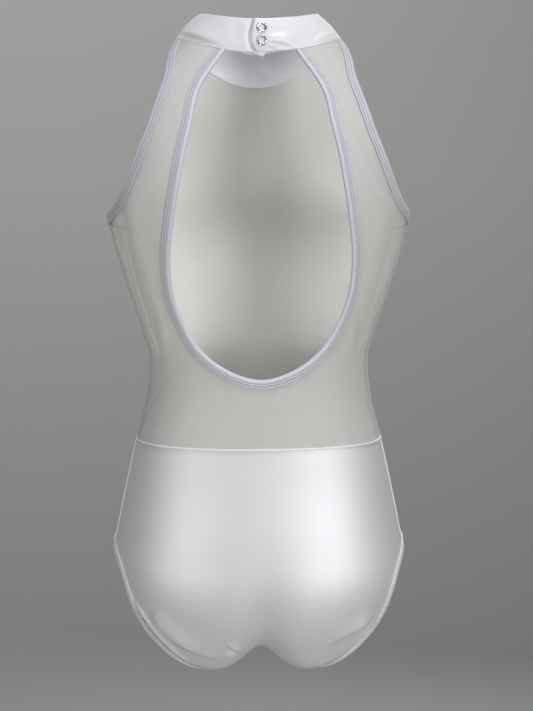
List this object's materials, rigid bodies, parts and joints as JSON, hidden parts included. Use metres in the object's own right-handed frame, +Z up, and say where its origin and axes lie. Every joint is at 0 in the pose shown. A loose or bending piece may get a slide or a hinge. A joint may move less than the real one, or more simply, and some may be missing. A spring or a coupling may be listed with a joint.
{
  "type": "dance leotard",
  "caption": "Sleeveless halter leotard in its worn hollow shape, with a stand collar that snaps at the back, a bound keyhole opening in a mesh back and a plain satin brief.",
  "frame": {"origin": "centre of the neck opening, 6 mm below the foot of the collar's sides", "axes": "+Z up the body, -Y out of the costume's back (the side with the keyhole and snaps), +X to the right seen from behind"},
  "size_m": [0.3144, 0.2232, 0.6761],
  "materials": {
    "satin_spandex": "white satin-faced stretch knit",
    "power_mesh": "white sheer stretch mesh",
    "fold_binding": "white folded binding, cover-stitched",
    "snap_metal": "bright"
  },
  "bodies": {
    "root": {"back_mesh": "power_mesh", "front_bodice": "satin_spandex", "brief_back": "satin_spandex", "brief_front": "satin_spandex", "collar_band": "satin_spandex", "keyhole_binding": "fold_binding", "armhole_binding_left": "fold_binding", "armhole_binding_right": "fold_binding", "leg_hem_left": "satin_spandex", "leg_hem_right": "satin_spandex", "waist_allowance": "satin_spandex", "snap_upper": "snap_metal", "snap_lower": "snap_metal", "snap_back_upper": "snap_metal", "snap_back_lower": "snap_metal"}
  },
  "joints": []
}
